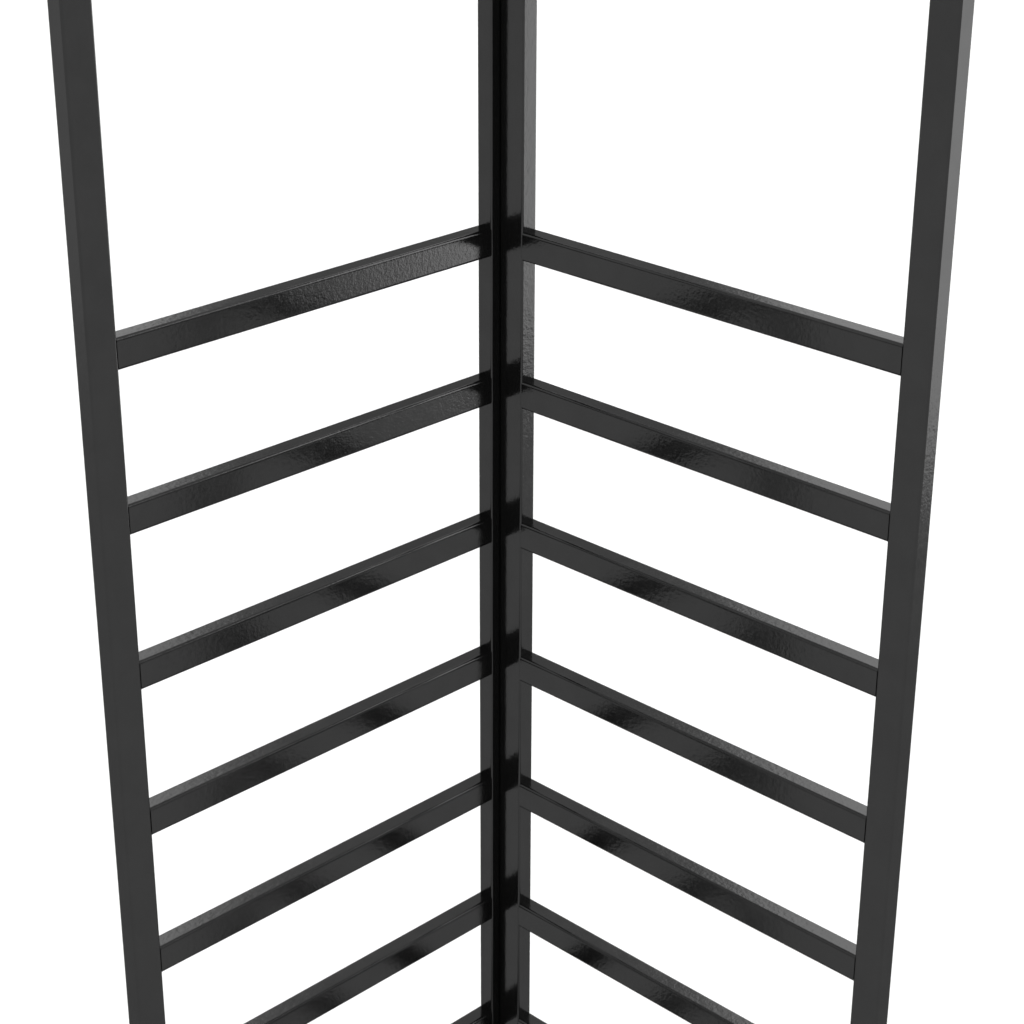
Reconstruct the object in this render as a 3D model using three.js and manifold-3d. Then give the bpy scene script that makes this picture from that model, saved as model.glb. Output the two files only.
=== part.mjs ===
// Firewood log rack: two identical ladder panels meet in an L and stand on a slatted base frame.
// Millimetres, +Z up. The origin is on the floor, under the middle of the rack's outer box.
// The side panel stands at -X, the back panel at +Y, and the front and the right side are open.

import * as THREE from 'three';
import { mergeVertices } from 'three/addons/utils/BufferGeometryUtils.js';
import Module from 'manifold-3d';

// ---------------------------------------------------------------- driving dimensions

const OVERALL_HEIGHT = 1130;
const PANEL_LENGTH = 356.4;

const POST_TUBE = { width: 21.5, depth: 13.5, cornerRadius: 1.4 };
const RAIL_TUBE = { width: 20.3, depth: 13.5, cornerRadius: 2.1 };
const TUBE_WALL = 0.8;

const RUNG_COUNT = 8;
const RUNG_PITCH = 108.25;
const BASE_TOP = 33;
const SLAT_COUNT = 3;

const CAP_FLANGE = 2;
const CAP_CHAMFER = 0.6;
const GLIDE_FLANGE = 3;
const GLIDE_CHAMFER = 0.8;
const PLUG_STEM = 12;
const PLUG_STEM_RADIUS = 0.6;

const BOLT = {
  shankRadius: 2.85,
  shankLength: 20,
  tipChamfer: 0.6,
  headRadius: 5.25,
  headHeight: 3.2,
  crownRadius: 3,
  shoulderRadius: 5,
  socketRadius: 2.3,
  socketDepth: 1.8,
};
const NUT = { acrossFlats: 10, thickness: 5, boreRadius: 3.15 };
const BOLT_HOLE_RADIUS = 3.3;

const WELD_GAP = 0.1;
const PANEL_GAP = 0.1;
const PLUG_GAP = 0.3;
const NUT_GAP = 0.2;

const CORNER_STEPS = 1;
const ROUND_STEPS = 16;
const DOME_STEPS = 5;

// ---------------------------------------------------------------- dimensions worked out from them

const RACK_WIDTH = POST_TUBE.depth + PANEL_GAP + PANEL_LENGTH;
const HEAD_STANDOFF = BOLT.headHeight + WELD_GAP;
const POST_TOP = OVERALL_HEIGHT - CAP_FLANGE;
const BASE_MIDDLE = BASE_TOP - RAIL_TUBE.width / 2;
const LOWEST_BAY_MIDDLE = BASE_MIDDLE + RUNG_PITCH / 2;
const TOP_RAIL_TO_BOLT = 55;
const CORNER_BOLT_HEIGHTS = [
  LOWEST_BAY_MIDDLE,
  LOWEST_BAY_MIDDLE + RUNG_PITCH * 4,
  POST_TOP - RAIL_TUBE.width - TOP_RAIL_TO_BOLT,
];

// ---------------------------------------------------------------- materials

const powderCoat = { color: 0x0c0c0d, roughness: 0.25, metalness: 0.0 };
const blackPlastic = { color: 0x101010, roughness: 0.55, metalness: 0.0 };
const blackSteel = { color: 0x161617, roughness: 0.35, metalness: 0.8 };

function namedMesh(name, geometry, look) {
  const mesh = new THREE.Mesh(geometry, new THREE.MeshStandardMaterial(look));
  mesh.name = name;
  return mesh;
}

// ---------------------------------------------------------------- cutting with manifold

const wasm = await Module();
wasm.setup();

function toManifold(geometry) {
  const bare = geometry.clone();
  bare.deleteAttribute('normal');
  bare.deleteAttribute('uv');
  const merged = mergeVertices(bare, 1e-4);
  return new wasm.Manifold(new wasm.Mesh({
    numProp: 3,
    vertProperties: new Float32Array(merged.attributes.position.array),
    triVerts: new Uint32Array(merged.index.array),
  }));
}

function toGeometry(solid) {
  const mesh = solid.getMesh();
  const geometry = new THREE.BufferGeometry();
  geometry.setAttribute('position', new THREE.BufferAttribute(mesh.vertProperties, 3));
  geometry.setIndex(new THREE.BufferAttribute(mesh.triVerts, 1));
  geometry.computeVertexNormals();
  return geometry;
}

function cut(geometry, cutters) {
  let solid = toManifold(geometry);
  for (const cutter of cutters) {
    solid = solid.subtract(toManifold(cutter));
  }
  return toGeometry(solid);
}

// ---------------------------------------------------------------- tubes

function roundedRectangle(path, width, depth, radius) {
  const x = width / 2 - radius;
  const y = depth / 2 - radius;
  path.moveTo(x, -y - radius);
  path.absarc(x, -y, radius, -Math.PI / 2, 0);
  path.absarc(x, y, radius, 0, Math.PI / 2);
  path.absarc(-x, y, radius, Math.PI / 2, Math.PI);
  path.absarc(-x, -y, radius, Math.PI, Math.PI * 1.5);
  path.closePath();
  return path;
}

function extrude(shape, length) {
  return new THREE.ExtrudeGeometry(shape, {
    depth: length,
    steps: 1,
    bevelEnabled: false,
    curveSegments: CORNER_STEPS,
  });
}

// A rectangular tube along local Z: its width lies on local X and its depth on local Y.
function tubeGeometry({ width, depth, cornerRadius }, length) {
  const section = roundedRectangle(new THREE.Shape(), width, depth, cornerRadius);
  const innerRadius = cornerRadius - TUBE_WALL;
  const innerWidth = width - 2 * TUBE_WALL;
  const innerDepth = depth - 2 * TUBE_WALL;
  section.holes.push(roundedRectangle(new THREE.Path(), innerWidth, innerDepth, innerRadius));
  return extrude(section, length);
}

// Slants a tube's ends at 45 degrees, so that its face at local -Y stays the longest.
function mitreEnds(geometry, depth, length, { start = false, end = false }) {
  const position = geometry.attributes.position;
  for (let i = 0; i < position.count; i += 1) {
    const slant = position.getY(i) + depth / 2 + WELD_GAP / 2;
    const atEnd = position.getZ(i) > length / 2;
    if (atEnd && end) {
      position.setZ(i, length - slant);
    }
    if (!atEnd && start) {
      position.setZ(i, slant);
    }
  }
  return geometry;
}

// A bolt hole along local X or Y. It reaches from one place on that axis to another.
function boltHole(axis, from, to, across, height) {
  const hole = new THREE.CylinderGeometry(BOLT_HOLE_RADIUS, BOLT_HOLE_RADIUS, to - from, ROUND_STEPS);
  const middle = (from + to) / 2;
  if (axis === 'x') {
    hole.rotateZ(Math.PI / 2);
    hole.translate(middle, across, height);
  } else {
    hole.translate(across, middle, height);
  }
  return hole;
}

function throughHole(tube, across, height) {
  return boltHole('y', -tube.depth, tube.depth, across, height);
}

// ---------------------------------------------------------------- plastic plugs

// A plug for a tube end: a flange of the tube's outline, and a stem that goes into the tube.
// Its flange rests on the tube's end at local Z = 0, and its stem points down.
function plugGeometry({ width, depth, cornerRadius }, flange, chamfer) {
  const outline = roundedRectangle(new THREE.Shape(), width, depth, cornerRadius);
  const top = extrude(outline, flange);
  const position = top.attributes.position;
  for (let i = 0; i < position.count; i += 1) {
    if (position.getZ(i) > flange / 2) {
      position.setX(i, position.getX(i) * (1 - 2 * chamfer / width));
      position.setY(i, position.getY(i) * (1 - 2 * chamfer / depth));
    }
  }
  const stemInset = 2 * (TUBE_WALL + PLUG_GAP);
  const stemShape = roundedRectangle(
    new THREE.Shape(), width - stemInset, depth - stemInset, PLUG_STEM_RADIUS);
  const stem = extrude(stemShape, PLUG_STEM + flange / 2);
  stem.translate(0, 0, -PLUG_STEM);
  return toGeometry(toManifold(top).add(toManifold(stem)));
}

function topCap(name, tube) {
  return namedMesh(name, plugGeometry(tube, CAP_FLANGE - WELD_GAP, CAP_CHAMFER), blackPlastic);
}

function floorGlide(name, tube) {
  const geometry = plugGeometry(tube, GLIDE_FLANGE - WELD_GAP, GLIDE_CHAMFER);
  geometry.rotateX(Math.PI);
  return namedMesh(name, geometry, blackPlastic);
}

// ---------------------------------------------------------------- bolts and nuts

// A button head bolt along local Z: its head sits below Z = 0 and its shank runs up from there.
function boltGeometry() {
  const dome = new THREE.QuadraticBezierCurve(
    new THREE.Vector2(BOLT.crownRadius, -BOLT.headHeight),
    new THREE.Vector2(BOLT.shoulderRadius, -BOLT.headHeight),
    new THREE.Vector2(BOLT.headRadius, 0),
  );
  const profile = [
    new THREE.Vector2(0, -BOLT.headHeight),
    ...dome.getPoints(DOME_STEPS),
    new THREE.Vector2(BOLT.shankRadius, 0),
    new THREE.Vector2(BOLT.shankRadius, BOLT.shankLength - BOLT.tipChamfer),
    new THREE.Vector2(BOLT.shankRadius - BOLT.tipChamfer, BOLT.shankLength),
    new THREE.Vector2(0, BOLT.shankLength),
  ];
  const blank = new THREE.LatheGeometry(profile, ROUND_STEPS);
  blank.rotateX(Math.PI / 2);
  const socket = new THREE.CylinderGeometry(
    BOLT.socketRadius, BOLT.socketRadius, 2 * BOLT.socketDepth, 6);
  socket.rotateX(Math.PI / 2);
  socket.translate(0, 0, -BOLT.headHeight);
  return cut(blank, [socket]);
}

function nutGeometry() {
  const cornerRadius = NUT.acrossFlats / Math.sqrt(3);
  const hexagon = new THREE.Shape();
  for (let i = 0; i < 6; i += 1) {
    const angle = i * Math.PI / 3;
    const x = cornerRadius * Math.cos(angle);
    const y = cornerRadius * Math.sin(angle);
    if (i === 0) {
      hexagon.moveTo(x, y);
    } else {
      hexagon.lineTo(x, y);
    }
  }
  hexagon.closePath();
  const bore = new THREE.Path();
  bore.absarc(0, 0, NUT.boreRadius, 0, Math.PI * 2);
  hexagon.holes.push(bore);
  return new THREE.ExtrudeGeometry(hexagon, {
    depth: NUT.thickness,
    steps: 1,
    bevelEnabled: false,
    curveSegments: ROUND_STEPS / 2,
  });
}

// Bolt and nut in one group along local Z, which starts at the outer face of the post.
function fastener(name, number) {
  const group = new THREE.Group();
  const bolt = namedMesh(`${name}_bolt_${number}`, boltGeometry(), blackSteel);
  bolt.position.z = -WELD_GAP;
  const nut = namedMesh(`${name}_nut_${number}`, nutGeometry(), blackSteel);
  nut.position.z = POST_TUBE.depth + PANEL_GAP + TUBE_WALL + NUT_GAP;
  group.add(bolt, nut);
  return group;
}

// ---------------------------------------------------------------- ladder panels

// Turns a tube's length from local Z to a heading in the floor plane, keeping its width upright.
function lay(mesh, heading) {
  mesh.rotation.set(0, Math.PI / 2, heading, 'ZYX');
  return mesh;
}

// A post stands on its floor glide and carries a cap. Its holes are given in its own frame,
// whose origin is the middle of its lower end.
function addPost(panel, name, x, holes) {
  const geometry = tubeGeometry(POST_TUBE, POST_TOP - GLIDE_FLANGE);
  const post = namedMesh(`${name}_post`, cut(geometry, holes), powderCoat);
  post.position.set(x, -POST_TUBE.depth / 2, GLIDE_FLANGE);
  const cap = topCap(`${name}_cap`, POST_TUBE);
  cap.position.set(x, -POST_TUBE.depth / 2, POST_TOP + WELD_GAP);
  const glide = floorGlide(`${name}_glide`, POST_TUBE);
  glide.position.set(x, -POST_TUBE.depth / 2, GLIDE_FLANGE - WELD_GAP);
  panel.add(post, cap, glide);
}

function addRung(panel, name, topHeight) {
  const length = PANEL_LENGTH - 2 * POST_TUBE.width - 2 * WELD_GAP;
  const rung = namedMesh(name, tubeGeometry(RAIL_TUBE, length), powderCoat);
  const x = POST_TUBE.width + WELD_GAP;
  const y = -POST_TUBE.depth + RAIL_TUBE.depth / 2;
  rung.position.set(x, y, topHeight - RAIL_TUBE.width / 2);
  panel.add(lay(rung, 0));
}

// A welded ladder panel along local X. Its outer face is at Y = 0 and its inner face at -Y.
function ladderPanel(name, start, end) {
  const panel = new THREE.Group();
  addPost(panel, `${name}_${start.name}`, POST_TUBE.width / 2, start.holes);
  addPost(panel, `${name}_${end.name}`, PANEL_LENGTH - POST_TUBE.width / 2, end.holes);
  for (let i = 1; i <= RUNG_COUNT; i += 1) {
    addRung(panel, `${name}_rung_${i}`, BASE_TOP + i * RUNG_PITCH);
  }
  addRung(panel, `${name}_top_rail`, POST_TOP);
  return panel;
}

const baseBoltHole = throughHole(POST_TUBE, 0, BASE_MIDDLE - GLIDE_FLANGE);

// The corner bolts meet the back panel's post in the middle of its depth, so they pass the side
// panel's wider post nearer to its outer edge.
const cornerHoleOffset = (POST_TUBE.width - POST_TUBE.depth) / 2;

const cornerThroughHoles = CORNER_BOLT_HEIGHTS.map(
  (height) => throughHole(POST_TUBE, cornerHoleOffset, height - GLIDE_FLANGE));

const cornerEntryHoles = CORNER_BOLT_HEIGHTS.map(
  (height) => boltHole('x', -POST_TUBE.width, 0, 0, height - GLIDE_FLANGE));

function sidePanel() {
  const panel = ladderPanel(
    'side',
    { name: 'front', holes: [baseBoltHole] },
    { name: 'corner', holes: cornerThroughHoles },
  );
  panel.rotation.z = Math.PI / 2;
  panel.position.set(0, -PANEL_LENGTH, 0);
  return panel;
}

function backPanel() {
  const panel = ladderPanel(
    'back',
    { name: 'corner', holes: [...cornerEntryHoles, baseBoltHole] },
    { name: 'right', holes: [baseBoltHole] },
  );
  panel.position.set(POST_TUBE.depth + PANEL_GAP, 0, 0);
  return panel;
}

// ---------------------------------------------------------------- base frame

const BASE = {
  left: POST_TUBE.depth + PANEL_GAP,
  right: RACK_WIDTH,
  front: -PANEL_LENGTH,
  back: -POST_TUBE.depth - PANEL_GAP,
};

// One rail of the base frame. It starts at a corner (x, y) of the frame's outline and runs along
// its heading, with the inside of the frame on its left.
function baseRail(name, x, y, heading, length, mitres, holes = []) {
  const geometry = tubeGeometry(RAIL_TUBE, length);
  mitreEnds(geometry, RAIL_TUBE.depth, length, mitres);
  const rail = namedMesh(name, cut(geometry, holes), powderCoat);
  const inset = RAIL_TUBE.depth / 2;
  rail.position.set(x - inset * Math.sin(heading), y + inset * Math.cos(heading), BASE_MIDDLE);
  return lay(rail, heading);
}

// The hole that lets a bolt into a rail through its outer wall, at a distance along the rail.
function railEntryHole(distance) {
  return boltHole('y', -RAIL_TUBE.depth, 0, 0, distance);
}

function baseFoot() {
  const foot = new THREE.Group();
  const length = BASE_TOP - CAP_FLANGE - GLIDE_FLANGE;
  const tube = namedMesh('base_foot', tubeGeometry(POST_TUBE, length), powderCoat);
  tube.position.z = GLIDE_FLANGE;
  const cap = topCap('base_foot_cap', POST_TUBE);
  cap.position.z = BASE_TOP - CAP_FLANGE + WELD_GAP;
  const glide = floorGlide('base_foot_glide', POST_TUBE);
  glide.position.z = GLIDE_FLANGE - WELD_GAP;
  foot.add(tube, cap, glide);
  foot.position.set(BASE.right - POST_TUBE.width / 2, BASE.front + POST_TUBE.depth / 2, 0);
  return foot;
}

function baseSlats() {
  const slats = new THREE.Group();
  const section = { ...RAIL_TUBE, width: RAIL_TUBE.depth, depth: RAIL_TUBE.width };
  const first = BASE.left + RAIL_TUBE.depth;
  const last = BASE.right - RAIL_TUBE.depth;
  const space = (last - first - SLAT_COUNT * section.depth) / (SLAT_COUNT + 1);
  const start = BASE.front + RAIL_TUBE.depth + WELD_GAP;
  const length = BASE.back - RAIL_TUBE.depth - WELD_GAP - start;
  for (let i = 1; i <= SLAT_COUNT; i += 1) {
    const slat = namedMesh(`base_slat_${i}`, tubeGeometry(section, length), powderCoat);
    const x = first + i * space + (i - 0.5) * section.depth;
    slat.position.set(x, start, BASE_TOP - section.width / 2);
    slats.add(lay(slat, Math.PI / 2));
  }
  return slats;
}

function baseFrame() {
  const base = new THREE.Group();
  const frontEnd = BASE.right - POST_TUBE.width - WELD_GAP;
  const rightStart = BASE.front + POST_TUBE.depth + WELD_GAP;
  const backLength = BASE.right - BASE.left;
  const leftLength = BASE.back - BASE.front;
  const postHalf = POST_TUBE.width / 2;
  base.add(
    baseRail('base_front_rail', BASE.left, BASE.front, 0, frontEnd - BASE.left, { start: true }),
    baseRail('base_right_rail', BASE.right, rightStart, Math.PI / 2, BASE.back - rightStart, { end: true }),
    baseRail('base_back_rail', BASE.right, BASE.back, Math.PI, backLength, { start: true, end: true },
      [railEntryHole(postHalf), railEntryHole(backLength - postHalf)]),
    baseRail('base_left_rail', BASE.left, BASE.back, -Math.PI / 2, leftLength, { start: true, end: true },
      [railEntryHole(leftLength - postHalf)]),
    baseSlats(),
    baseFoot(),
  );
  return base;
}

// ---------------------------------------------------------------- fasteners

// Bolts that go in from the side panel's outer face, towards +X.
function sideFastener(name, number, y, height) {
  const group = fastener(name, number);
  group.rotation.y = Math.PI / 2;
  group.position.set(0, y, height);
  return group;
}

// Bolts that go in from the back panel's outer face, towards -Y.
function backFastener(name, number, x, height) {
  const group = fastener(name, number);
  group.rotation.x = Math.PI / 2;
  group.position.set(x, 0, height);
  return group;
}

function fasteners() {
  const group = new THREE.Group();
  CORNER_BOLT_HEIGHTS.forEach((height, i) => {
    group.add(sideFastener('corner', i + 1, -POST_TUBE.depth / 2, height));
  });
  const postHalf = POST_TUBE.width / 2;
  group.add(
    sideFastener('base', 1, BASE.front + postHalf, BASE_MIDDLE),
    backFastener('base', 2, BASE.left + postHalf, BASE_MIDDLE),
    backFastener('base', 3, BASE.right - postHalf, BASE_MIDDLE),
  );
  return group;
}

// ---------------------------------------------------------------- the whole rack

const rack = new THREE.Group();
rack.add(sidePanel(), backPanel(), baseFrame(), fasteners());
rack.position.set(
  HEAD_STANDOFF - (RACK_WIDTH + HEAD_STANDOFF) / 2,
  (PANEL_LENGTH + HEAD_STANDOFF) / 2 - HEAD_STANDOFF,
  0,
);

export default rack;
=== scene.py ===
"""Firewood log rack: the looks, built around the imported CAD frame. Metres, +Z up."""

import math

import bmesh
import bpy
from mathutils import Matrix, Vector


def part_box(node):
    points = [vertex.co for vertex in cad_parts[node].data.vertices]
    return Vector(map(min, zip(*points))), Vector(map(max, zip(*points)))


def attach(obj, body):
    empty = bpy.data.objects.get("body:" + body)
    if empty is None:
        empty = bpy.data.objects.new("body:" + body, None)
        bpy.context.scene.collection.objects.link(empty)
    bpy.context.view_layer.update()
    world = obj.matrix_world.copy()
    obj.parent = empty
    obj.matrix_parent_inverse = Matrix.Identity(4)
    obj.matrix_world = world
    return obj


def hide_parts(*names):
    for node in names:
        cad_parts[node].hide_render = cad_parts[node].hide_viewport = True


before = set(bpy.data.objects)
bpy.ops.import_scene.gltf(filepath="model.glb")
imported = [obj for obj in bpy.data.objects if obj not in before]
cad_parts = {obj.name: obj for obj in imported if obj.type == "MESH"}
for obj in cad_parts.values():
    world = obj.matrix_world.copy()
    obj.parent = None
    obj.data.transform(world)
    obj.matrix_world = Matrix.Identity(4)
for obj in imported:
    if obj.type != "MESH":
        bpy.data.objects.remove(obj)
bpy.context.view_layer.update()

MM = 0.001

# ------------------------------------------------------------------ dimensions of the pieces

TUBE_WALL = 0.8 * MM
POST_RADIUS = 1.4 * MM
RAIL_RADIUS = 2.1 * MM
ARC_STEPS = 6
WELD_REACH = 0.3 * MM

PLUG_RADIUS = 1.4 * MM
PLUG_LEAST_RADIUS = 0.3 * MM
PLUG_SHARP_EDGE = math.radians(35)
STEM_INSET = 1.1 * MM
STEM_WALL = 1.5 * MM
STEM_RADIUS = 0.6 * MM
STEM_FLOOR = 2.0 * MM
STEM_TAPER = 0.3 * MM
STEM_TAPER_LENGTH = 0.8 * MM
CAP_FLANGE = 1.9 * MM
GLIDE_FLANGE = 2.9 * MM

HEAD_HEIGHT = 3.2 * MM
HEAD_RADIUS = 5.25 * MM
HEAD_CROWN_RADIUS = 3.0 * MM
HEAD_RIM = 0.4 * MM
HEAD_STEPS = 8
HEAD_UNDERCUT = 0.12 * MM
HEAD_CHAMFER = 0.15 * MM
SOCKET_FLATS = 4.0 * MM
SOCKET_DEPTH = 1.8 * MM
SOCKET_CHAMFER = 0.15 * MM
SOCKET_FLOOR_INSET = 0.1 * MM
DRILL_DEPTH = 0.5 * MM
DRILL_RADIUS = 0.2 * MM
SHANK_RADIUS = 2.85 * MM
PLAIN_SHANK = 1.5 * MM
THREAD_START = 1.7 * MM
THREAD_PITCH = 1.0 * MM
THREAD_DEPTH = 0.45 * MM
THREAD_STEPS = 4
TIP_LENGTH = 0.5 * MM
TIP_RADIUS = SHANK_RADIUS - 0.9 * MM
NUT_FLATS = 10.0 * MM
FLATS_MARGIN = 1.0 * MM
NUT_BORE = 3.15 * MM
NUT_FACE_INSET = 0.15 * MM
NUT_LEAD_IN = 0.35 * MM
ROUND_SIDES = 48
FASTENER_SHARP_EDGE = math.radians(28)

# ------------------------------------------------------------------ camera

CAMERA_PLACE = Vector((0.8901, -0.8991, 1.3572))
CAMERA_AZIMUTH = math.radians(45.055)
CAMERA_TILT = math.radians(24.141)
SENSOR_WIDTH = 36
LENS = 79.98
SHIFT_X = 0.0162
CLIP_START = 0.05
CLIP_END = 100

AHEAD = Vector((-math.sin(CAMERA_AZIMUTH), math.cos(CAMERA_AZIMUTH), 0))
TO_THE_RIGHT = Vector((AHEAD.y, -AHEAD.x, 0))


def make_camera():
    data = bpy.data.cameras.new("camera")
    data.lens = LENS
    data.sensor_width = SENSOR_WIDTH
    data.shift_x = SHIFT_X
    data.clip_start = CLIP_START
    data.clip_end = CLIP_END
    camera = bpy.data.objects.new("camera", data)
    camera.location = CAMERA_PLACE
    camera.rotation_euler = (math.pi / 2 - CAMERA_TILT, 0, CAMERA_AZIMUTH)
    bpy.context.scene.collection.objects.link(camera)
    bpy.context.scene.camera = camera


# ------------------------------------------------------------------ node helpers

class Nodes:
    """Short calls for building a node tree."""

    def __init__(self, tree):
        self.tree = tree
        tree.nodes.clear()

    def add(self, kind, inputs=None, **settings):
        node = self.tree.nodes.new(kind)
        for key, value in settings.items():
            setattr(node, key, value)
        for key, value in (inputs or {}).items():
            if isinstance(value, bpy.types.NodeSocket):
                self.tree.links.new(value, node.inputs[key])
            else:
                node.inputs[key].default_value = value
        return node

    def math(self, operation, *values):
        node = self.add("ShaderNodeMath", dict(enumerate(values)), operation=operation)
        return node.outputs[0]

    def smooth(self, value, low, high, to_low=0.0, to_high=1.0):
        """A soft step of the value from one level to another."""
        inputs = {"Value": value, "From Min": low, "From Max": high}
        inputs.update({"To Min": to_low, "To Max": to_high})
        node = self.add("ShaderNodeMapRange", inputs, interpolation_type="SMOOTHSTEP")
        return node.outputs["Result"]

    def grey(self, value):
        channels = {"Red": value, "Green": value, "Blue": value}
        return self.add("ShaderNodeCombineColor", channels).outputs[0]

    def bump(self, height, distance):
        inputs = {"Height": height, "Strength": 1.0, "Distance": distance}
        return self.add("ShaderNodeBump", inputs).outputs[0]

    def noise(self, place, scale, detail=1.0, roughness=0.5):
        inputs = {"Vector": place, "Scale": scale, "Detail": detail, "Roughness": roughness}
        return self.add("ShaderNodeTexNoise", inputs).outputs["Fac"]


def new_material(name):
    material = bpy.data.materials.new(name)
    material.use_nodes = True
    return material, Nodes(material.node_tree)


# ------------------------------------------------------------------ studio light

# The room is a white dome, as bright as the backdrop, with a few lighter and darker parts. Each
# panel faces the rack squarely from one azimuth, so its edges are straight in a reflection:
# facing, azimuth from and to, elevation from and to as met at the facing azimuth, softness, and
# what it adds to the dome. Azimuth is 0 ahead of the camera and grows to the right.
DOME = 1.04
PANELS = [
    (47, 7.3, 91.5, 12, 49.5, 2, 3.3),
    (49, 15, 92.5, -25.4, 12, 1, 3.45),
    (-10, -13.2, -8.6, 12, 42, 1, 3.3),
    (-79, -84, -40, -20, 0, 3, 0.4),
]

# The darker parts: azimuth from and to, elevation from and to, softness, and what they add.
SHADES = [
    (93, 120, -6, 13, 4, -0.85),
    (-120, -80, -6, 14, 8, -0.7),
    (-40, 40, -10, 21, 8, -0.27),
    (112, 181, -40, 0, 8, -0.05),
    (-181, -112, -40, 0, 8, -0.05),
    (-180, 180, -90, -46, 12, -0.85),
]

# What the camera sees beyond the floor, and the least distance to a panel's plane in the sums.
BACKDROP = 1.0
LEAST_DISTANCE = 0.001


def make_world():
    world = bpy.data.worlds.new("studio")
    world.use_nodes = True
    bpy.context.scene.world = world
    n = Nodes(world.node_tree)
    toward = n.add("ShaderNodeTexCoord").outputs["Generated"]

    def along(direction):
        inputs = {0: toward, 1: direction}
        return n.add("ShaderNodeVectorMath", inputs, operation="DOT_PRODUCT").outputs["Value"]

    def between(value, low, high, soft):
        rise = n.smooth(value, low - soft / 2, low + soft / 2)
        fall = n.smooth(value, high - soft / 2, high + soft / 2, 1.0, 0.0)
        return n.math("MULTIPLY", rise, fall)

    height = along(Vector((0, 0, 1)))
    azimuth = n.math("DEGREES", n.math("ARCTAN2", along(TO_THE_RIGHT), along(AHEAD)))
    elevation = n.math("DEGREES", n.math("ARCSINE", height))
    radiance = DOME
    for left, right, low, high, soft, strength in SHADES:
        across = between(azimuth, left, right, soft)
        window = n.math("MULTIPLY", across, between(elevation, low, high, soft))
        radiance = n.math("ADD", radiance, n.math("MULTIPLY", window, strength))
    for facing, left, right, low, high, soft, strength in PANELS:
        turn = math.radians(facing)
        out = along(math.cos(turn) * AHEAD + math.sin(turn) * TO_THE_RIGHT)
        rise = n.math("DEGREES", n.math("ARCTAN2", height, n.math("MAXIMUM", out, LEAST_DISTANCE)))
        across = between(azimuth, left, right, soft)
        window = n.math("MULTIPLY", across, between(rise, low, high, soft))
        radiance = n.math("ADD", radiance, n.math("MULTIPLY", window, strength))
    seen = n.add("ShaderNodeLightPath").outputs["Is Camera Ray"]
    mix = n.add("ShaderNodeMix", {"Factor": seen, "A": radiance, "B": BACKDROP})
    light = {"Color": (1, 1, 1, 1), "Strength": mix.outputs["Result"]}
    background = n.add("ShaderNodeBackground", light)
    n.add("ShaderNodeOutputWorld", {"Surface": background.outputs[0]})


FLOOR_SIZE = 14.0
FLOOR_ALBEDO = 0.79


def make_floor():
    half = FLOOR_SIZE / 2
    corners = [(-half, -half, 0), (half, -half, 0), (half, half, 0), (-half, half, 0)]
    mesh = bpy.data.meshes.new("floor")
    mesh.from_pydata(corners, [], [(0, 1, 2, 3)])
    floor = bpy.data.objects.new("floor", mesh)
    bpy.context.scene.collection.objects.link(floor)
    material, n = new_material("floor_paper")
    white = (FLOOR_ALBEDO, FLOOR_ALBEDO, FLOOR_ALBEDO, 1)
    shader = n.add("ShaderNodeBsdfDiffuse", {"Color": white})
    n.add("ShaderNodeOutputMaterial", {"Surface": shader.outputs[0]})
    mesh.materials.append(material)
    floor.visible_glossy = False


# ------------------------------------------------------------------ materials

# Noise scales are in cells per metre.
PEEL_HEIGHT = 0.07 * MM
PLASTIC_GRAIN_HEIGHT = 0.03 * MM
STEEL_GRAIN_HEIGHT = 0.02 * MM
GRAIN_SHARE = 0.6


def powder_coat():
    """Glossy black powder coat: a fine orange peel over the steel, with faint dull patches.

    The coat mirrors the room about as strongly at a slant as face on, so it is mostly metallic,
    with the specular tint holding back its rise towards grazing angles.
    """
    material, n = new_material("powder_coat")
    place = n.add("ShaderNodeTexCoord").outputs["Object"]
    peel = n.noise(place, scale=300.0)
    grain = n.noise(place, scale=800.0)
    patches = n.noise(place, scale=45.0, detail=3.0, roughness=0.6)
    height = n.math("ADD", peel, n.math("MULTIPLY", grain, GRAIN_SHARE))
    shade = n.smooth(patches, 0.3, 0.7, to_low=0.038, to_high=0.041)
    shader = n.add("ShaderNodeBsdfPrincipled", {
        "Base Color": n.grey(shade),
        "Metallic": 0.92,
        "Roughness": n.smooth(patches, 0.3, 0.7, to_low=0.13, to_high=0.16),
        "IOR": 1.5,
        "Specular Tint": (0.5, 0.5, 0.5, 1),
        "Normal": n.bump(height, PEEL_HEIGHT),
    })
    n.add("ShaderNodeOutputMaterial", {"Surface": shader.outputs[0]})
    return material


def black_plastic():
    """Satin moulded plastic with a fine spark-eroded grain."""
    material, n = new_material("black_plastic")
    place = n.add("ShaderNodeTexCoord").outputs["Object"]
    grain = n.noise(place, scale=2600.0, detail=2.0, roughness=0.6)
    wear = n.noise(place, scale=120.0, detail=3.0, roughness=0.6)
    shade = n.smooth(wear, 0.3, 0.75, to_low=0.006, to_high=0.011)
    shader = n.add("ShaderNodeBsdfPrincipled", {
        "Base Color": n.grey(shade),
        "Roughness": n.smooth(wear, 0.3, 0.75, to_low=0.42, to_high=0.55),
        "IOR": 1.5,
        "Normal": n.bump(grain, PLASTIC_GRAIN_HEIGHT),
    })
    n.add("ShaderNodeOutputMaterial", {"Surface": shader.outputs[0]})
    return material


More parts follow.
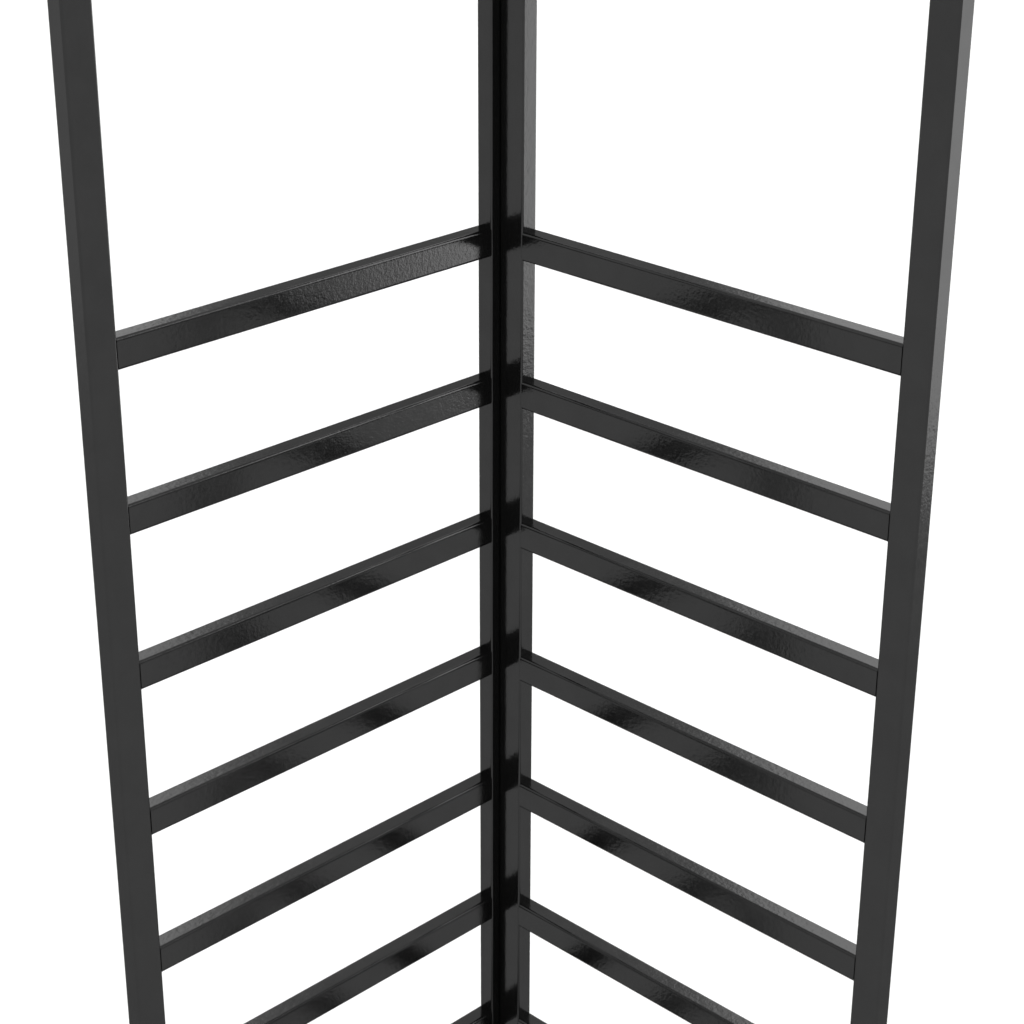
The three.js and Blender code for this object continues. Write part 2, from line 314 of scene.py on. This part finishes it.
def bolt_steel():
    """Black oxide steel, a little brighter where a key or spanner has rubbed it."""
    material, n = new_material("black_bolt_steel")
    place = n.add("ShaderNodeTexCoord").outputs["Object"]
    rub = n.noise(place, scale=700.0, detail=3.0, roughness=0.6)
    shade = n.smooth(rub, 0.45, 0.75, to_low=0.03, to_high=0.09)
    shader = n.add("ShaderNodeBsdfPrincipled", {
        "Base Color": n.grey(shade),
        "Metallic": 1.0,
        "Roughness": n.smooth(rub, 0.4, 0.7, to_low=0.42, to_high=0.3),
        "Normal": n.bump(rub, STEEL_GRAIN_HEIGHT),
    })
    n.add("ShaderNodeOutputMaterial", {"Surface": shader.outputs[0]})
    return material


LOOKS = {
    "powder_coat": powder_coat(),
    "black_plastic": black_plastic(),
    "black_bolt_steel": bolt_steel(),
}

# ------------------------------------------------------------------ mesh helpers

def rounded_outline(width, depth, radius):
    """Points and outward normals round a rectangle with round corners, on local X and Y."""
    points = []
    for corner, (sx, sy) in enumerate([(1, -1), (1, 1), (-1, 1), (-1, -1)]):
        centre = Vector((sx * (width / 2 - radius), sy * (depth / 2 - radius)))
        for step in range(ARC_STEPS + 1):
            angle = math.pi / 2 * (corner - 1 + step / ARC_STEPS)
            normal = Vector((math.cos(angle), math.sin(angle)))
            points.append((centre + radius * normal, normal))
    return points


def finish_piece(name, nodes, slot, vertices, faces, face_normals=None):
    """Makes the mesh a piece that stands for its CAD nodes and rides on the rack's one body."""
    mesh = bpy.data.meshes.new(name)
    mesh.from_pydata(vertices, [], faces)
    mesh.materials.append(LOOKS[slot])
    if face_normals:
        mesh.polygons.foreach_set("use_smooth", [True] * len(mesh.polygons))
        mesh.normals_split_custom_set([normal for face in face_normals for normal in face])
    piece = bpy.data.objects.new(name, mesh)
    bpy.context.scene.collection.objects.link(piece)
    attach(piece, "root")
    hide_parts(*nodes)
    return piece


# The frame of a tube that runs along each axis: its columns are the section's X and Y and the run.
AXES = {
    "x": Matrix(((0, 0, 1), (1, 0, 0), (0, 1, 0))),
    "y": Matrix(((1, 0, 0), (0, 0, 1), (0, 1, 0))),
    "z": Matrix.Identity(3),
}


def tube_piece(node, axis, radius, reach=0.0, mitres=None):
    """A hollow tube in the box of a CAD node, along one axis, with finely rounded corners.

    Reach lengthens its square ends a little, into the welded joint. Mitres gives, for an end cut
    at 45 degrees, the side of the section (-1 or 1 on its local X) that is longest there.
    """
    low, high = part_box(node)
    middle = (low + high) / 2
    turn = AXES[axis]
    size = turn.transposed() @ (high - low)
    width = abs(size.x)
    depth = abs(size.y)
    outer = rounded_outline(width, depth, radius)
    inner = rounded_outline(width - 2 * TUBE_WALL, depth - 2 * TUBE_WALL, radius - TUBE_WALL)
    count = len(outer)
    mitres = mitres or {}
    vertices = []
    end_normals = []
    for end in (-1, 1):
        side = mitres.get(end, 0)
        end_normals.append((-side, 0, end))
        for points in (outer, inner):
            for point, _ in points:
                cut_back = width / 2 - side * point.x if side else -reach
                z = end * (abs(size.z) / 2 - cut_back)
                vertices.append(middle + turn @ Vector((point.x, point.y, z)))
    faces = []
    normals = []
    flip = turn.determinant() < 0
    start_outer, start_inner, end_outer, end_inner = (count * i for i in range(4))

    def add(face, face_normals):
        if flip:
            face = face[::-1]
            face_normals = face_normals[::-1]
        faces.append(face)
        normals.append([(turn @ Vector(normal)).normalized() for normal in face_normals])

    for i in range(count):
        j = (i + 1) % count
        out_i = (*outer[i][1], 0)
        out_j = (*outer[j][1], 0)
        outer_face = [start_outer + i, start_outer + j, end_outer + j, end_outer + i]
        add(outer_face, [out_i, out_j, out_j, out_i])
        in_i = tuple(-c for c in out_i)
        in_j = tuple(-c for c in out_j)
        inner_face = [start_inner + j, start_inner + i, end_inner + i, end_inner + j]
        add(inner_face, [in_j, in_i, in_i, in_j])
        end_face = [end_outer + i, end_outer + j, end_inner + j, end_inner + i]
        add(end_face, [end_normals[1]] * 4)
        start_face = [start_outer + j, start_outer + i, start_inner + i, start_inner + j]
        add(start_face, [end_normals[0]] * 4)
    return finish_piece(node.replace("_", "-"), [node], "powder_coat", vertices, faces, normals)


def loft(rings, turn, place, closed=False):
    """Skins a stack of rings with equal numbers of points, given in the piece's own frame.

    The rings run so that their points turn anticlockwise seen from where the stack goes. A stack
    that isn't closed on itself gets a flat face at each end.
    """
    count = len(rings[0])
    vertices = [place + turn @ point for ring in rings for point in ring]
    faces = []
    for k in range(len(rings) if closed else len(rings) - 1):
        here = k * count
        there = (k + 1) % len(rings) * count
        for i in range(count):
            j = (i + 1) % count
            faces.append([here + i, here + j, there + j, there + i])
    if not closed:
        faces.append(list(range(count))[::-1])
        faces.append([(len(rings) - 1) * count + i for i in range(count)])
    if turn.determinant() < 0:
        faces = [face[::-1] for face in faces]
    return vertices, faces


def smooth_by_angle(piece, limit):
    """Smooths the piece's shading, with sharp edges where its faces turn more than the limit."""
    mesh = bmesh.new()
    mesh.from_mesh(piece.data)
    for face in mesh.faces:
        face.smooth = True
    for edge in mesh.edges:
        edge.smooth = edge.calc_face_angle(0) < limit
    mesh.to_mesh(piece.data)
    mesh.free()


# ------------------------------------------------------------------ the rack's tubes

RUNG_COUNT = 8
SLAT_COUNT = 3
POSTS = ["side_front", "side_corner", "back_corner", "back_right"]
RUNGS = [f"rung_{i}" for i in range(1, RUNG_COUNT + 1)] + ["top_rail"]


def make_uprights():
    for post in POSTS:
        tube_piece(f"{post}_post", "z", POST_RADIUS)
    tube_piece("base_foot", "z", POST_RADIUS)


def make_rungs():
    for rung in RUNGS:
        tube_piece(f"side_{rung}", "y", RAIL_RADIUS, WELD_REACH)
        tube_piece(f"back_{rung}", "x", RAIL_RADIUS, WELD_REACH)


def make_base():
    tube_piece("base_front_rail", "x", RAIL_RADIUS, mitres={-1: -1})
    tube_piece("base_back_rail", "x", RAIL_RADIUS, mitres={-1: 1, 1: 1})
    tube_piece("base_left_rail", "y", RAIL_RADIUS, mitres={-1: -1, 1: -1})
    tube_piece("base_right_rail", "y", RAIL_RADIUS, mitres={1: 1})
    for i in range(1, SLAT_COUNT + 1):
        tube_piece(f"base_slat_{i}", "y", RAIL_RADIUS, WELD_REACH)


# ------------------------------------------------------------------ plastic caps and glides

# Flange edges in mm, as (height above the tube's end, inset from the tube's outline). The cap's edge
# is rounded and its top is slightly crowned. The glide's edge is bevelled, and it rests on a pad.
CAP_EDGE = [(0, 0.05), (1.2, 0), (1.45, 0.08), (1.65, 0.25), (1.78, 0.5), (1.84, 0.8), (1.9, 3.0)]
GLIDE_EDGE = [
    (0, 0.05), (1.7, 0), (2.1, 0.12), (2.5, 0.5),
    (2.62, 0.8), (2.66, 1.6), (2.72, 1.75), (2.9, 1.85),
]

# The stem's grip ribs in mm, as (depth below the tube's end, how far the ring stands out).
STEM_RIBS = [
    (9.5, 0), (9.0, 0.2), (8.6, 0),
    (6.5, 0), (6.0, 0.2), (5.6, 0),
    (3.5, 0), (3.0, 0.2), (2.6, 0),
    (0, 0),
]


def plug_piece(node, flange, edge, up):
    """A plug in a tube's end: a flange as wide as the tube, and a hollow ribbed stem inside it.

    Up is 1 where the flange faces up and -1 where it faces down.
    """
    low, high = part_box(node)
    size = high - low
    stem = size.z - flange
    tube_end = high.z - flange if up > 0 else low.z + flange

    def ring(height, inset, radius):
        width = size.x - 2 * inset
        depth = size.y - 2 * inset
        return [Vector((p.x, p.y, height)) for p, _ in rounded_outline(width, depth, radius)]

    hollow = STEM_INSET + STEM_WALL
    rings = [
        ring(-STEM_FLOOR, hollow, STEM_RADIUS),
        ring(-stem, hollow, STEM_RADIUS),
        ring(-stem, STEM_INSET + STEM_TAPER, STEM_RADIUS),
        ring(-stem + STEM_TAPER_LENGTH, STEM_INSET, STEM_RADIUS),
    ]
    for depth, out in STEM_RIBS:
        rings.append(ring(-depth * MM, STEM_INSET - out * MM, STEM_RADIUS))
    for height, inset in edge:
        radius = max(PLUG_RADIUS - inset * MM, PLUG_LEAST_RADIUS)
        rings.append(ring(height * MM, inset * MM, radius))
    turn = Matrix.Diagonal((1, 1, up))
    place = Vector(((low.x + high.x) / 2, (low.y + high.y) / 2, tube_end))
    vertices, faces = loft(rings, turn, place)
    piece = finish_piece(node.replace("_", "-"), [node], "black_plastic", vertices, faces)
    smooth_by_angle(piece, PLUG_SHARP_EDGE)


def make_plugs():
    for post in [*POSTS, "base_foot"]:
        plug_piece(f"{post}_cap", CAP_FLANGE, CAP_EDGE, 1)
        plug_piece(f"{post}_glide", GLIDE_FLANGE, GLIDE_EDGE, -1)


# ------------------------------------------------------------------ bolts and nuts

def round_ring(height, radius):
    """A ring on local Z. Height and radius are numbers, or functions of the angle."""
    points = []
    for i in range(ROUND_SIDES):
        angle = 2 * math.pi * i / ROUND_SIDES
        r = radius(angle) if callable(radius) else radius
        z = height(angle) if callable(height) else height
        points.append(Vector((r * math.cos(angle), r * math.sin(angle), z)))
    return points


def hexagon(flats):
    """The distance to the side of a hexagon, as a function of the angle."""
    def radius(angle):
        return flats / 2 / math.cos((angle + math.pi / 6) % (math.pi / 3) - math.pi / 6)
    return radius


def thread(height):
    """The radius of a threaded shank at a height, as a function of the angle."""
    def radius(angle):
        turns = (height / THREAD_PITCH + angle / (2 * math.pi)) % 1
        return SHANK_RADIUS - THREAD_DEPTH * abs(2 * turns - 1)
    return radius


def bolt_rings(length):
    """A button head bolt on local Z: its head below Z = 0, its threaded shank above."""
    socket = hexagon(SOCKET_FLATS)
    floor = -HEAD_HEIGHT + SOCKET_DEPTH
    rings = [
        round_ring(floor + DRILL_DEPTH, DRILL_RADIUS),
        round_ring(floor, lambda angle: socket(angle) - SOCKET_FLOOR_INSET),
        round_ring(floor, socket),
        round_ring(-HEAD_HEIGHT + SOCKET_CHAMFER, socket),
        round_ring(-HEAD_HEIGHT, lambda angle: socket(angle) + SOCKET_CHAMFER),
    ]
    for step in range(HEAD_STEPS + 1):
        angle = math.pi / 2 * step / HEAD_STEPS
        radius = HEAD_CROWN_RADIUS + (HEAD_RADIUS - HEAD_CROWN_RADIUS) * math.sin(angle)
        height = -HEAD_RIM - (HEAD_HEIGHT - HEAD_RIM) * math.cos(angle)
        rings.append(round_ring(height, radius))
    rings.append(round_ring(-HEAD_UNDERCUT, HEAD_RADIUS))
    rings.append(round_ring(0, HEAD_RADIUS - HEAD_CHAMFER))
    rings.append(round_ring(0, SHANK_RADIUS))
    rings.append(round_ring(PLAIN_SHANK, SHANK_RADIUS))
    rise = THREAD_PITCH / THREAD_STEPS
    for step in range(round((length - PLAIN_SHANK - 2 * TIP_LENGTH) / rise)):
        height = THREAD_START + step * rise
        rings.append(round_ring(height, thread(height)))
    rings.append(round_ring(length - TIP_LENGTH, SHANK_RADIUS - THREAD_DEPTH))
    rings.append(round_ring(length, TIP_RADIUS))
    return rings


def nut_rings(thickness):
    """A hexagon nut on local Z, from Z = 0 up, with its corners turned down on both faces."""
    side = hexagon(NUT_FLATS)
    face = NUT_FLATS / 2 - NUT_FACE_INSET

    def turned_down(angle):
        return (side(angle) - face) * math.tan(math.pi / 6)

    return [
        round_ring(0, NUT_BORE + NUT_LEAD_IN),
        round_ring(0, face),
        round_ring(turned_down, side),
        round_ring(lambda angle: thickness - turned_down(angle), side),
        round_ring(thickness, face),
        round_ring(thickness, NUT_BORE + NUT_LEAD_IN),
        round_ring(thickness - NUT_LEAD_IN, NUT_BORE),
        round_ring(NUT_LEAD_IN, NUT_BORE),
    ]


def fastener_piece(node, into):
    """A bolt or nut in the box of its CAD node. Into is the direction that the bolt goes in."""
    low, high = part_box(node)
    along = abs((high - low).dot(into))
    corners_up = high.z - low.z > NUT_FLATS + FLATS_MARGIN  # a nut with a corner on top
    turn = into.to_track_quat("Z", "Y" if corners_up else "X").to_matrix()
    head = (low + high) / 2 - into * along / 2
    if "_bolt_" in node:
        rings = bolt_rings(along - HEAD_HEIGHT)
        vertices, faces = loft(rings, turn, head + into * HEAD_HEIGHT)
    else:
        vertices, faces = loft(nut_rings(along), turn, head, closed=True)
    piece = finish_piece(node.replace("_", "-"), [node], "black_bolt_steel", vertices, faces)
    smooth_by_angle(piece, FASTENER_SHARP_EDGE)


def make_fasteners():
    sideways = Vector((1, 0, 0))
    forwards = Vector((0, -1, 0))
    for joint, number, into in [
        ("corner", 1, sideways),
        ("corner", 2, sideways),
        ("corner", 3, sideways),
        ("base", 1, sideways),
        ("base", 2, forwards),
        ("base", 3, forwards),
    ]:
        fastener_piece(f"{joint}_bolt_{number}", into)
        fastener_piece(f"{joint}_nut_{number}", into)


# ------------------------------------------------------------------ the scene

make_camera()
make_world()
make_floor()
make_uprights()
make_rungs()
make_base()
make_plugs()
make_fasteners()

view = bpy.context.scene.view_settings
view.view_transform = "Standard"
view.look = "None"
